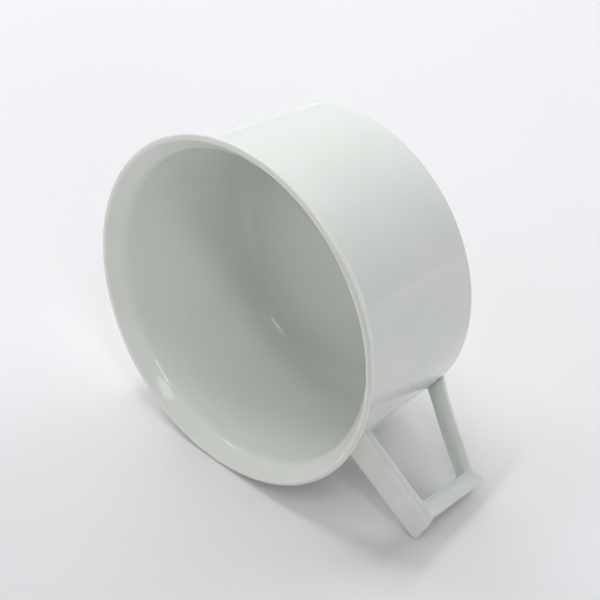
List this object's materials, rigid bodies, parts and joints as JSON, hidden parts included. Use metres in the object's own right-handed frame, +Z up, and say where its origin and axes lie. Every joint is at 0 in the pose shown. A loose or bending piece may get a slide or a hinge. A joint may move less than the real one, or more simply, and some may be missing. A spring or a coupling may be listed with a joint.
{
  "type": "shaving mug",
  "caption": "Wide, low glazed porcelain mug with a flared lip and an angular strap handle, in which lather is whipped up with a shaving brush.",
  "frame": {"origin": "middle of the mug's length, from rim to handle, and of its width, in the plane of the foot ring", "axes": "+Z up along the cup's axis, -X towards the handle, the upright plane of the handle is XZ"},
  "size_m": [0.1384, 0.11, 0.0537],
  "materials": {
    "cup_glaze": "gloss",
    "handle_glaze": "gloss",
    "joint_slip": "satin"
  },
  "bodies": {
    "root": {"cup_body": "cup_glaze", "handle": "handle_glaze", "upper_slip_joint": "joint_slip", "lower_slip_joint": "joint_slip"}
  },
  "joints": []
}
